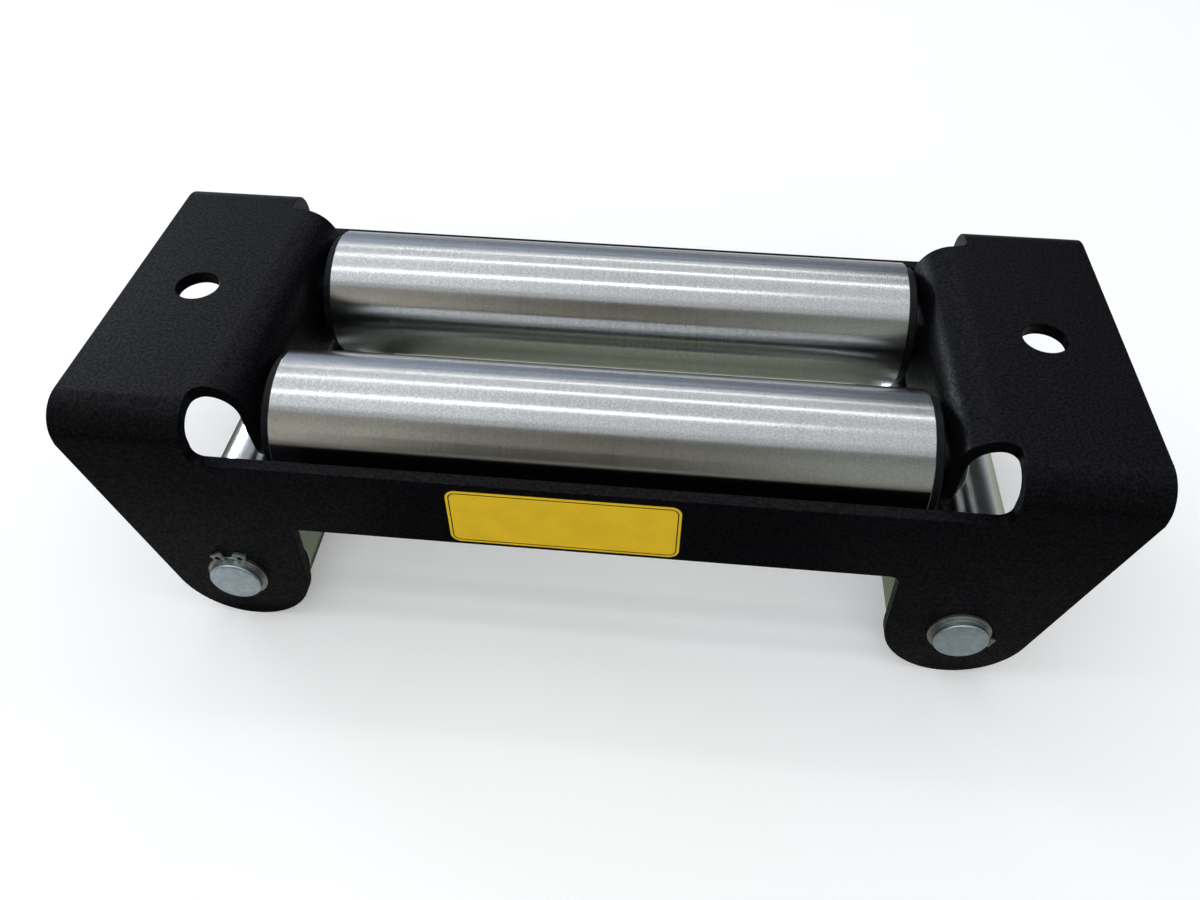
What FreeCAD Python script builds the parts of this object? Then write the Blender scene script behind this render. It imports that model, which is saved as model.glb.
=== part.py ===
"""Four-way roller fairlead: a folded steel frame that carries two long and two short rollers.

The mounting face is up (+Z) and the rollers hang below it. X runs along the long rollers, and -Y is
the side with the label. The origin is midway between the two mounting bolt holes, on the mounting face.
All sizes are in millimetres.
"""

import FreeCAD
import Part
import Sketcher
import math
import os
import re

# Driving dimensions, one cell of the sheet each.
SIZES = {
    # Folded frame
    "frame_width": 298.0,
    "frame_depth": 117.2,
    "plate_thickness": 4.0,
    "flange_bend_radius": 10.2,
    "bar_top_depth": 16.7,
    "bar_bottom_depth": 42.4,
    "arch_half_width": 88.3,
    "arch_corner_radius": 3.0,
    "taper_start_depth": 12.4,
    "foot_radius": 21.6,
    # Ears that carry the long rollers
    "ear_face_offset": 96.7,
    "ear_bend_radius": 11.4,
    "ear_root_run": 0.2,
    "ear_half_width": 44.2,
    "ear_lobe_radius": 12.5,
    "relief_corner_radius": 3.4,
    # Mounting bolts
    "bolt_spacing": 254.0,
    "bolt_hole_diameter": 13.0,
    # Places of the roller pins
    "long_pin_offset": 30.4,
    "long_pin_depth": 22.7,
    "short_pin_offset": 110.8,
    "short_pin_depth": 66.4,
    # Pins and their retaining rings
    "pin_diameter": 16.0,
    "pin_hole_clearance": 0.1,
    "pin_end_length": 3.6,
    "pin_chamfer": 0.5,
    "groove_diameter": 15.2,
    "groove_play": 0.1,
    "ring_thickness": 1.0,
    "ring_radial_width": 1.45,
    "ring_offset": 0.2,
    "ring_gap": 3.2,
    "lug_length": 3.45,
    "lug_outer_side": 1.65,
    "lug_inner_side": 3.0,
    "lug_corner_reach": 2.7,
    "lug_hole_reach": 1.5,
    "lug_hole_diameter": 1.7,
    "lug_spread_angle": 23.4,
    # Rollers
    "roller_diameter": 40.4,
    "tube_wall": 4.0,
    "tube_chamfer": 0.7,
    "bush_flange_diameter": 37.4,
    "bush_flange_thickness": 2.7,
    "bush_sleeve_length": 24.0,
    "bush_chamfer": 0.6,
    "bush_running_clearance": 0.07,
    "long_end_play": 2.0,
    "short_end_play": 1.2,
    # Label
    "label_width": 65.7,
    "label_height": 21.7,
    "label_corner_radius": 3.0,
    "label_thickness": 0.2,
    "label_centre_offset": -7.4,
    "label_centre_depth": 30.1,
    # Overrun of a cut past the face that it goes through
    "cut_overrun": 5.0,
}

document = FreeCAD.newDocument("roller_fairlead")
sheet = document.addObject("Spreadsheet::Sheet", "Sizes")
for row, (alias, size) in enumerate(SIZES.items(), start=1):
    sheet.set(f"A{row}", alias)
    sheet.set(f"B{row}", str(size))
    sheet.setAlias(f"B{row}", alias)
document.recompute()

sub_parts = []
UP = FreeCAD.Vector(0, 0, 1)


def bound(expression):
    """Turn plain size names in an expression into references to the sheet."""
    return re.sub("[a-z_]+", lambda word: f"Sizes.{word[0]}" if word[0] in SIZES else word[0], expression)


def value(expression):
    """Work out an expression of size names as a number."""
    result = sheet.evalExpression(bound(expression))
    return float(getattr(result, "Value", result))


def bind(item, name, expression):
    """Tie a property of a document object to the sheet."""
    item.setExpression(name, bound(expression))


def point(x, y):
    """A vector in a sketch's own plane."""
    return FreeCAD.Vector(x, y, 0)


def new_body(label):
    """Start a sub-part made of features, under the name of its file."""
    body = document.addObject("PartDesign::Body", label)
    body.Label = label
    sub_parts.append(body)
    return body


def origin_feature(body, role):
    """Find one of the body's own planes or axes."""
    return next(item for item in body.Origin.OriginFeatures if item.Role == role)


def new_sketch(body, name, plane, offset=None):
    """Add a sketch on one of the body's origin planes, at a distance along its normal if one is given."""
    sketch = body.newObject("Sketcher::SketchObject", name)
    sketch.AttachmentSupport = [(origin_feature(body, plane), "")]
    sketch.MapMode = "FlatFace"
    if offset:
        bind(sketch, ".AttachmentOffset.Base.z", offset)
    return sketch


class Corner:
    """A corner of an outline: sharp, or rounded by a radius. Its place and radius are expressions."""

    def __init__(self, x, y, radius=None):
        self.x, self.y, self.radius = x, y, radius
        self.place = point(value(x), value(y))
        self.swing = 0.0


class Lobe(Corner):
    """A convex round end about a centre, which the runs on both sides touch."""

    def __init__(self, x, y, radius):
        super().__init__(x, y, radius)
        self.swing = value(radius)


def run_direction(start, end):
    """Direction of the straight run that touches two stations, with each lobe on its left side."""
    across = end.place - start.place
    turn = math.asin((start.swing - end.swing) / across.Length)
    heading = math.atan2(across.y, across.x) + turn
    return point(math.cos(heading), math.sin(heading))


def left_of(direction):
    """The direction a quarter turn to the left."""
    return point(-direction.y, direction.x)


def arc_of(station, before, after):
    """Centre, start, end and turn of the arc at a rounded station between two runs."""
    turn = math.atan2(before.x * after.y - before.y * after.x, before.dot(after))
    if station.swing:
        turn %= 2 * math.pi
    radius = value(station.radius)
    side = math.copysign(1.0, turn)
    if station.swing:
        centre = station.place
    else:
        trim = radius * math.tan(abs(turn) / 2)
        centre = station.place - before * trim + left_of(before) * radius * side
    start = centre - left_of(before) * radius * side
    end = centre - left_of(after) * radius * side
    return centre, start, end, turn


def place_point(sketch, item, position, x, y):
    """Hold a point of a sketch at its distances from the origin."""
    for kind, expression in (("DistanceX", x), ("DistanceY", y)):
        constraint = Sketcher.Constraint(kind, -1, 1, item, position, value(expression))
        index = sketch.addConstraint(constraint)
        bind(sketch, f"Constraints[{index}]", expression)


def hold_radius(sketch, item, expression):
    """Tie the radius of an arc or circle to the sheet."""
    index = sketch.addConstraint(Sketcher.Constraint("Radius", item, value(expression)))
    bind(sketch, f"Constraints[{index}]", expression)


def draw_outline(sketch, stations):
    """Draw a closed anticlockwise outline of straight runs, with arcs at the rounded stations."""
    count = len(stations)
    runs = [run_direction(stations[i], stations[(i + 1) % count]) for i in range(count)]
    arcs = {}
    for i, station in enumerate(stations):
        if station.radius:
            arcs[i] = arc_of(station, runs[i - 1], runs[i])
    lines = []
    for i, station in enumerate(stations):
        following = (i + 1) % count
        start = arcs[i][2] if i in arcs else station.place
        end = arcs[following][1] if following in arcs else stations[following].place
        lines.append(sketch.addGeometry(Part.LineSegment(start, end), False))
    for i, station in enumerate(stations):
        line_in, line_out = lines[i - 1], lines[i]
        if i not in arcs:
            sketch.addConstraint(Sketcher.Constraint("Coincident", line_in, 2, line_out, 1))
            place_point(sketch, line_out, 1, station.x, station.y)
            continue
        centre, start, end, turn = arcs[i]
        from_point, to_point = (start, end) if turn > 0 else (end, start)
        circle = Part.Circle(centre, UP, value(station.radius))
        first = math.atan2(from_point.y - centre.y, from_point.x - centre.x)
        last = math.atan2(to_point.y - centre.y, to_point.x - centre.x)
        if last < first:
            last += 2 * math.pi
        arc = sketch.addGeometry(Part.ArcOfCircle(circle, first, last), False)
        arc_start, arc_end = (1, 2) if turn > 0 else (2, 1)
        sketch.addConstraint(Sketcher.Constraint("Tangent", line_in, 2, arc, arc_start))
        sketch.addConstraint(Sketcher.Constraint("Tangent", arc, arc_end, line_out, 1))
        hold_radius(sketch, arc, station.radius)
        if station.swing:
            place_point(sketch, arc, 3, station.x, station.y)
        else:
            apex = sketch.addGeometry(Part.Point(station.place), True)
            place_point(sketch, apex, 1, station.x, station.y)
            sketch.addConstraint(Sketcher.Constraint("PointOnObject", apex, 1, line_in))
            sketch.addConstraint(Sketcher.Constraint("PointOnObject", apex, 1, line_out))


def draw_box(sketch, left, right, low, high):
    """Draw a rectangle from the expressions of its four sides."""
    draw_outline(sketch, [Corner(left, low), Corner(right, low), Corner(right, high), Corner(left, high)])


def draw_circle(sketch, x, y, radius):
    """Draw a circle from the expressions of its centre and radius."""
    circle = sketch.addGeometry(Part.Circle(point(value(x), value(y)), UP, value(radius)), False)
    place_point(sketch, circle, 3, x, y)
    hold_radius(sketch, circle, radius)


def pad(body, name, sketch, length, midplane=False):
    """Add material along the normal of a sketch."""
    feature = body.newObject("PartDesign::Pad", name)
    feature.Profile = sketch
    feature.Midplane = midplane
    bind(feature, "Length", length)
    return feature


def pocket(body, name, sketch, length):
    """Cut along the normal of a sketch, half of the length to each side, and see that it cuts."""
    before = body.Shape.Volume
    feature = body.newObject("PartDesign::Pocket", name)
    feature.Profile = sketch
    feature.Midplane = True
    bind(feature, "Length", length)
    document.recompute()
    if body.Shape.Volume >= before:
        raise RuntimeError(f"{name} cuts nothing")
    return feature


def revolve(body, name, sketch):
    """Turn a profile once round the body's X axis."""
    feature = body.newObject("PartDesign::Revolution", name)
    feature.Profile = sketch
    feature.ReferenceAxis = (origin_feature(body, "X_Axis"), [""])
    feature.Angle = 360.0
    return feature


# Folded frame: a channel whose two flanges end in four feet, with two ears folded down from its window.

CHANNEL_DROP = "short_pin_depth + foot_radius + cut_overrun"
BEND_LINE = "ear_face_offset + ear_bend_radius"
RELIEF_HALF = "ear_face_offset + ear_bend_radius + ear_root_run + relief_corner_radius"
INNER_HALF = "frame_depth / 2 - plate_thickness"


def channel_section(body):
    """Bent plate: the mounting face and both flanges, in one section along the width."""
    sketch = new_sketch(body, "channel_section", "YZ_Plane")
    inner_radius = "flange_bend_radius - plate_thickness"
    draw_outline(sketch, [
        Corner("frame_depth / 2", f"-({CHANNEL_DROP})"),
        Corner("frame_depth / 2", "0", "flange_bend_radius"),
        Corner("- frame_depth / 2", "0", "flange_bend_radius"),
        Corner("- frame_depth / 2", f"-({CHANNEL_DROP})"),
        Corner(f"-({INNER_HALF})", f"-({CHANNEL_DROP})"),
        Corner(f"-({INNER_HALF})", "- plate_thickness", inner_radius),
        Corner(INNER_HALF, "- plate_thickness", inner_radius),
        Corner(INNER_HALF, f"-({CHANNEL_DROP})"),
    ])
    pad(body, "channel", sketch, "frame_width", midplane=True)
    document.recompute()


def flange_outline(body):
    """Trim both flanges to the arch between the feet, the round feet and the tapered ends."""
    sketch = new_sketch(body, "flange_outline", "XZ_Plane")
    reach = "frame_width / 2 + cut_overrun"
    draw_box(sketch, f"-({reach})", reach, f"-({CHANNEL_DROP} + cut_overrun)", "2 * cut_overrun")
    draw_outline(sketch, [
        Corner("frame_width / 2", "cut_overrun"),
        Corner("- frame_width / 2", "cut_overrun"),
        Corner("- frame_width / 2", "- taper_start_depth"),
        Lobe("- short_pin_offset", "- short_pin_depth", "foot_radius"),
        Corner("- arch_half_width", "- bar_bottom_depth", "arch_corner_radius"),
        Corner("arch_half_width", "- bar_bottom_depth", "arch_corner_radius"),
        Lobe("short_pin_offset", "- short_pin_depth", "foot_radius"),
        Corner("frame_width / 2", "- taper_start_depth"),
    ])
    pocket(body, "flange_trim", sketch, "frame_depth + 2 * cut_overrun")


def window(body):
    """Open the window between the ears: through the plate and both bends, down to the cross bars."""
    sketch = new_sketch(body, "window_outline", "XZ_Plane")
    draw_outline(sketch, [
        Corner(RELIEF_HALF, "cut_overrun"),
        Corner(f"-({RELIEF_HALF})", "cut_overrun"),
        Corner(f"-({RELIEF_HALF})", "- bar_top_depth", "relief_corner_radius"),
        Corner(RELIEF_HALF, "- bar_top_depth", "relief_corner_radius"),
    ])
    pocket(body, "window", sketch, "frame_depth + 2 * cut_overrun")


def ears(body):
    """Fold an ear down at each end of the window: root, bend, and leg with a lobe round each pin."""
    root_sketch = new_sketch(body, "ear_root_plan", "XY_Plane", "- plate_thickness")
    wing = "ear_half_width + relief_corner_radius + ear_root_run"
    inside_plate = f"{RELIEF_HALF} + plate_thickness"
    draw_outline(root_sketch, [
        Corner(BEND_LINE, "- ear_half_width"),
        Corner(RELIEF_HALF, "- ear_half_width", "relief_corner_radius"),
        Corner(RELIEF_HALF, f"-({wing})"),
        Corner(inside_plate, f"-({wing})"),
        Corner(inside_plate, wing),
        Corner(RELIEF_HALF, wing),
        Corner(RELIEF_HALF, "ear_half_width", "relief_corner_radius"),
        Corner(BEND_LINE, "ear_half_width"),
    ])
    root = pad(body, "ear_root", root_sketch, "plate_thickness")
    bend_sketch = new_sketch(body, "ear_bend_section", "XZ_Plane")
    ear_back = "ear_face_offset + plate_thickness"
    draw_outline(bend_sketch, [
        Corner(RELIEF_HALF, "- plate_thickness"),
        Corner(RELIEF_HALF, "0"),
        Corner("ear_face_offset", "0", "ear_bend_radius"),
        Corner("ear_face_offset", "- ear_bend_radius - ear_root_run"),
        Corner(ear_back, "- ear_bend_radius - ear_root_run"),
        Corner(ear_back, "- plate_thickness", "ear_bend_radius - plate_thickness"),
    ])
    bend = pad(body, "ear_bend", bend_sketch, "2 * ear_half_width", midplane=True)
    leg_sketch = new_sketch(body, "ear_leg_outline", "YZ_Plane", "ear_face_offset")
    draw_outline(leg_sketch, [
        Corner("ear_half_width", "- ear_bend_radius - ear_root_run"),
        Corner("- ear_half_width", "- ear_bend_radius - ear_root_run"),
        Lobe("- long_pin_offset", "- long_pin_depth", "ear_lobe_radius"),
        Lobe("long_pin_offset", "- long_pin_depth", "ear_lobe_radius"),
    ])
    leg = pad(body, "ear_leg", leg_sketch, "plate_thickness")
    document.recompute()
    mirrored = body.newObject("PartDesign::Mirrored", "second_ear")
    mirrored.Originals = [root, bend, leg]
    mirrored.MirrorPlane = (origin_feature(body, "YZ_Plane"), [""])
    body.Tip = mirrored
    document.recompute()


def frame_holes(body):
    """Bolt holes in the plate, and pin holes in the feet and in the ears."""
    pin_hole = "pin_diameter / 2 + pin_hole_clearance"
    bolts = new_sketch(body, "bolt_hole_circles", "XY_Plane")
    short_pins = new_sketch(body, "short_pin_circles", "XZ_Plane")
    long_pins = new_sketch(body, "long_pin_circles", "YZ_Plane")
    for sign in ("", "- "):
        draw_circle(bolts, f"{sign}bolt_spacing / 2", "0", "bolt_hole_diameter / 2")
        draw_circle(short_pins, f"{sign}short_pin_offset", "- short_pin_depth", pin_hole)
        draw_circle(long_pins, f"{sign}long_pin_offset", "- long_pin_depth", pin_hole)
    pocket(body, "bolt_holes", bolts, "2 * plate_thickness + cut_overrun")
    pocket(body, "short_pin_holes", short_pins, "frame_depth + cut_overrun")
    pocket(body, "long_pin_holes", long_pins, "frame_width")


def make_frame():
    """The folded frame."""
    body = new_body("frame")
    channel_section(body)
    flange_outline(body)
    window(body)
    ears(body)
    frame_holes(body)


def lay_out(item, place, rotation):
    """Turn a sub-part and put its own origin at a place given by three expressions."""
    item.Placement = FreeCAD.Placement(FreeCAD.Vector(*map(value, place)), rotation)
    for axis, expression in zip("xyz", place):
        bind(item, f".Placement.Base.{axis}", expression)


# Each roller is a tube on two flanged bushes, which run on a pin that the frame holds.

NECK = "groove_diameter / 2"
LUG_ALONG = "cos(lug_spread_angle)"
LUG_ACROSS = "sin(lug_spread_angle)"


def make_tube(label, half_length):
    """Roller tube with chamfered ends, along X."""
    body = new_body(label)
    sketch = new_sketch(body, f"{label}_profile", "XZ_Plane")
    outside = "roller_diameter / 2"
    draw_outline(sketch, [
        Corner(f"-({half_length})", f"{outside} - tube_wall"),
        Corner(half_length, f"{outside} - tube_wall"),
        Corner(half_length, f"{outside} - tube_chamfer"),
        Corner(f"{half_length} - tube_chamfer", outside),
        Corner(f"-({half_length} - tube_chamfer)", outside),
        Corner(f"-({half_length})", f"{outside} - tube_chamfer"),
    ])
    revolve(body, f"{label}_turned", sketch)
    return body


def make_bush(label, seat):
    """Flanged bush along X: its flange lies on the tube's end, its sleeve reaches into the tube."""
    body = new_body(label)
    sketch = new_sketch(body, f"{label}_profile", "XZ_Plane")
    bore = "pin_diameter / 2 + bush_running_clearance"
    sleeve = "roller_diameter / 2 - tube_wall"
    nose = f"{seat} - bush_sleeve_length"
    face = f"{seat} + bush_flange_thickness"
    rim = "bush_flange_diameter / 2"
    draw_outline(sketch, [
        Corner(nose, bore),
        Corner(f"{face} - bush_chamfer", bore),
        Corner(face, f"{bore} + bush_chamfer"),
        Corner(face, f"{rim} - bush_chamfer"),
        Corner(f"{face} - bush_chamfer", rim),
        Corner(seat, rim),
        Corner(seat, sleeve),
        Corner(f"{nose} + bush_chamfer", sleeve),
        Corner(nose, f"{sleeve} - bush_chamfer"),
    ])
    revolve(body, f"{label}_turned", sketch)
    return body


def make_pin(label, grip):
    """Pin along X with a groove outside the grip at each end for its retaining ring."""
    body = new_body(label)
    sketch = new_sketch(body, f"{label}_profile", "XZ_Plane")
    shank = "pin_diameter / 2"
    groove_end = f"{grip} + ring_thickness + groove_play"
    tip = f"{grip} + pin_end_length"
    right_side = [
        Corner(tip, "0"),
        Corner(tip, f"{shank} - pin_chamfer"),
        Corner(f"{tip} - pin_chamfer", shank),
        Corner(groove_end, shank),
        Corner(groove_end, NECK),
        Corner(grip, NECK),
        Corner(grip, shank),
    ]
    left_side = [Corner(f"-({corner.x})", corner.y) for corner in reversed(right_side)]
    draw_outline(sketch, right_side + left_side)
    revolve(body, f"{label}_turned", sketch)
    return body


def cylinder(name, radius, height, x="0", y="0", z="0"):
    """A cylinder along Z."""
    shape = document.addObject("Part::Cylinder", name)
    bind(shape, "Radius", radius)
    bind(shape, "Height", height)
    bind(shape, ".Placement.Base.x", x)
    bind(shape, ".Placement.Base.y", y)
    bind(shape, ".Placement.Base.z", z)
    return shape


def make_lug(label, hole_x, hole_y):
    """The lug on one side of a ring's gap: a block that points away from the pin, with corners cut off."""
    block = document.addObject("Part::Box", f"{label}_lug_block")
    block.Placement = FreeCAD.Placement(FreeCAD.Vector(), FreeCAD.Rotation(UP, value("lug_spread_angle")))
    bind(block, ".Placement.Rotation.Angle", "lug_spread_angle * 1 deg")
    bind(block, ".Placement.Base.x", f"{NECK} * {LUG_ALONG} + lug_inner_side * {LUG_ACROSS}")
    bind(block, ".Placement.Base.y", f"{NECK} * {LUG_ACROSS} - lug_inner_side * {LUG_ALONG}")
    bind(block, "Length", "lug_length")
    bind(block, "Width", "lug_inner_side + lug_outer_side")
    bind(block, "Height", "ring_thickness")
    lug = document.addObject("Part::MultiCommon", f"{label}_lug")
    corners = cylinder(f"{label}_lug_corners", "lug_corner_reach", "ring_thickness", hole_x, hole_y)
    lug.Shapes = [block, corners]
    return lug


def make_ring(label):
    """External retaining ring about Z, from Z = 0 up, with its gap and two drilled lugs towards +X."""
    hole_x = f"({NECK} + lug_hole_reach) * {LUG_ALONG}"
    hole_y = f"({NECK} + lug_hole_reach) * {LUG_ACROSS}"
    outside = f"{NECK} + ring_radial_width + ring_offset"
    band = cylinder(f"{label}_band", outside, "ring_thickness", x="- ring_offset")
    lug = make_lug(label, hole_x, hole_y)
    second_lug = document.addObject("Part::Mirroring", f"{label}_second_lug")
    second_lug.Source = lug
    second_lug.Normal = FreeCAD.Vector(0, 1, 0)
    removed = [cylinder(f"{label}_bore", NECK, "3 * ring_thickness", z="- ring_thickness")]
    for side, sign in (("a", ""), ("b", "- ")):
        removed.append(cylinder(f"{label}_hole_{side}", "lug_hole_diameter / 2", "3 * ring_thickness",
                                hole_x, sign + hole_y, "- ring_thickness"))
    gap = document.addObject("Part::Box", f"{label}_gap")
    bind(gap, "Length", "2 * pin_diameter")
    bind(gap, "Width", "ring_gap")
    bind(gap, "Height", "3 * ring_thickness")
    bind(gap, ".Placement.Base.y", "- ring_gap / 2")
    bind(gap, ".Placement.Base.z", "- ring_thickness")
    removed.append(gap)
    solid = document.addObject("Part::MultiFuse", f"{label}_solid")
    solid.Shapes = [band, lug, second_lug]
    hollow = document.addObject("Part::MultiFuse", f"{label}_hollow")
    hollow.Shapes = removed
    ring = document.addObject("Part::Cut", label)
    ring.Base = solid
    ring.Tool = hollow
    ring.Label = label
    sub_parts.append(ring)
    return ring


# Where the gap of each retaining ring points, in degrees up from level, as it was sprung on.
RING_GAP_ANGLES = {
    "long_roller_near_left": -50.0,
    "long_roller_near_right": 205.0,
    "long_roller_far_left": 160.0,
    "long_roller_far_right": -15.0,
    "short_roller_left_near": 95.0,
    "short_roller_left_far": 150.0,
    "short_roller_right_near": -40.0,
    "short_roller_right_far": 70.0,
}


def make_roller(name, place, turn, grip, end_play, ends):
    """One roller with its pin: the tube, two bushes, the pin and two retaining rings.

    It is made along X and turned about Z. The grip is half the width of what the pin passes through,
    and each end has its name and the half turn that brings +X to it.
    """
    tube_half = f"{grip} - plate_thickness - {end_play} - bush_flange_thickness"
    turned = FreeCAD.Rotation(UP, turn)
    lay_out(make_tube(f"{name}_tube", tube_half), place, turned)
    lay_out(make_pin(f"{name}_pin", grip), place, turned)
    for end, half_turn in ends:
        facing = FreeCAD.Rotation(UP, turn + half_turn)
        lay_out(make_bush(f"{name}_bush_{end}", tube_half), place, facing)
        outward = facing * FreeCAD.Vector(1, 0, 0)
        gap_angle = math.radians(RING_GAP_ANGLES[f"{name}_{end}"])
        gap = UP.cross(outward) * math.cos(gap_angle) + UP * math.sin(gap_angle)
        seat = [f"{base} + ({grip}) * {round(step)}" for base, step in zip(place, outward)]
        sprung_on = FreeCAD.Rotation(gap, outward.cross(gap), outward, "ZXY")
        lay_out(make_ring(f"{name}_ring_{end}"), seat, sprung_on)


def make_label():
    """Blank label on the near cross bar, with round corners."""
    body = new_body("label")
    sketch = new_sketch(body, "label_outline", "XZ_Plane", "frame_depth / 2")
    left = "label_centre_offset - label_width / 2"
    right = "label_centre_offset + label_width / 2"
    low = "- label_centre_depth - label_height / 2"
    high = "- label_centre_depth + label_height / 2"
    corners = [(left, low), (right, low), (right, high), (left, high)]
    draw_outline(sketch, [Corner(x, z, "label_corner_radius") for x, z in corners])
    pad(body, "label_sheet", sketch, "label_thickness")


def make_rollers():
    """Two long rollers between the ears, and below them two short rollers between the flanges."""
    ear_grip = "ear_face_offset + plate_thickness"
    flange_grip = "frame_depth / 2"
    for end, sign in (("near", "- "), ("far", "")):
        make_roller(f"long_roller_{end}", ("0", f"{sign}long_pin_offset", "- long_pin_depth"), 0.0,
                    ear_grip, "long_end_play", (("right", 0.0), ("left", 180.0)))
    for end, sign in (("left", "- "), ("right", "")):
        make_roller(f"short_roller_{end}", (f"{sign}short_pin_offset", "0", "- short_pin_depth"), 90.0,
                    flange_grip, "short_end_play", (("far", 0.0), ("near", 180.0)))


def check_model():
    """Stop at the first object that failed or sub-part that isn't a sound solid."""
    document.recompute()
    for item in document.Objects:
        if "Invalid" in item.State or "Error" in item.State:
            raise RuntimeError(f"{item.Name} is {item.State}")
    for item in sub_parts:
        if item.Shape.isNull() or not item.Shape.isValid() or item.Shape.Volume <= 0:
            raise RuntimeError(f"{item.Label} has no sound shape")


make_frame()
make_rollers()
make_label()
check_model()
os.makedirs("parts", exist_ok=True)
for item in sub_parts:
    item.Shape.exportStep(f"parts/{item.Label}.step")
    print(f"{item.Label}: {item.Shape.Volume / 1000:.2f} cm3, {len(item.Shape.Solids)} solid")
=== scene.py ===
"""Looks of a four-way roller fairlead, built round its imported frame.

The folded frame, the turned rollers, the moulded bushes, the plated pins, the retaining rings and the
blank label are classes of their own, and so are the finishes. All sizes are in metres.
"""

import logging
import math
from dataclasses import dataclass, field
from enum import Enum

import bmesh
import bpy
from mathutils import Matrix, Vector


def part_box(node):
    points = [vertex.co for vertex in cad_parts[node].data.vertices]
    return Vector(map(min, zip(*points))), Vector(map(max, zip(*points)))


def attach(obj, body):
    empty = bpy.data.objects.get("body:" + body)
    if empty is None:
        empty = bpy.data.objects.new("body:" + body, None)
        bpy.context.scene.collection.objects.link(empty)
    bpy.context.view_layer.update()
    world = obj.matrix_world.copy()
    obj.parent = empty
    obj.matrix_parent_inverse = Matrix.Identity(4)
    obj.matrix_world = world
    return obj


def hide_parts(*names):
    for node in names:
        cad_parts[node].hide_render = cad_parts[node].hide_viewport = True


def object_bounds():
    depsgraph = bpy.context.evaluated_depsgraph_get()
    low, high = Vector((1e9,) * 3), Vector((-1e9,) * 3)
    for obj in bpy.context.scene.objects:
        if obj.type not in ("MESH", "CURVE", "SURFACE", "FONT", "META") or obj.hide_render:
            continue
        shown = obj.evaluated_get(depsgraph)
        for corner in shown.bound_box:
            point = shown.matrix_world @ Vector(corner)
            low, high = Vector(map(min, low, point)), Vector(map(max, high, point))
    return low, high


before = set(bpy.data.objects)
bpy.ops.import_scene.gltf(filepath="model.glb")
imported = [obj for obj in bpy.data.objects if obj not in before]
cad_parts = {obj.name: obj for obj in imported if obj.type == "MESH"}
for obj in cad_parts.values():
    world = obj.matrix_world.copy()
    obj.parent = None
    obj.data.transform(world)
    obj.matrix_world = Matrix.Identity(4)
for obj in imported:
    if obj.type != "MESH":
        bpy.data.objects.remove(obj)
CAD_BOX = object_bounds()
MM = 0.001

# The body that everything but the rollers rides on.
FRAME_BODY = "frame_assembly"

# Names of the UV map of turned pieces and of the turn of a copied piece.
TURNED_UV = "turned"
TURN_ATTRIBUTE = "turn"

# How near two points of a mesh are one, and the angles that tell flat, smooth and sharp apart.
MERGE_DISTANCE = 0.002 * MM
FLAT_ANGLE = math.radians(0.5)
SMOOTH_ANGLE = math.radians(30.0)
SHARP_ANGLE = math.radians(35.0)
FLAT_FACE_WEIGHT = 100

logging.basicConfig(level=logging.INFO, format="%(name)s: %(message)s")
log = logging.getLogger("fairlead")

Colour = tuple[float, float, float]
Triple = tuple[float, float, float]
Profile = list[tuple[float, float]]


class Axis(Enum):
    """The axis that a turned piece runs along, with its unit vector."""

    X = (1.0, 0.0, 0.0)
    Y = (0.0, 1.0, 0.0)

    @property
    def vector(self) -> Vector:
        """The unit vector along the axis."""
        return Vector(self.value)

    @property
    def index(self) -> int:
        """The place of the axis in a vector."""
        return 0 if self is Axis.X else 1


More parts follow.
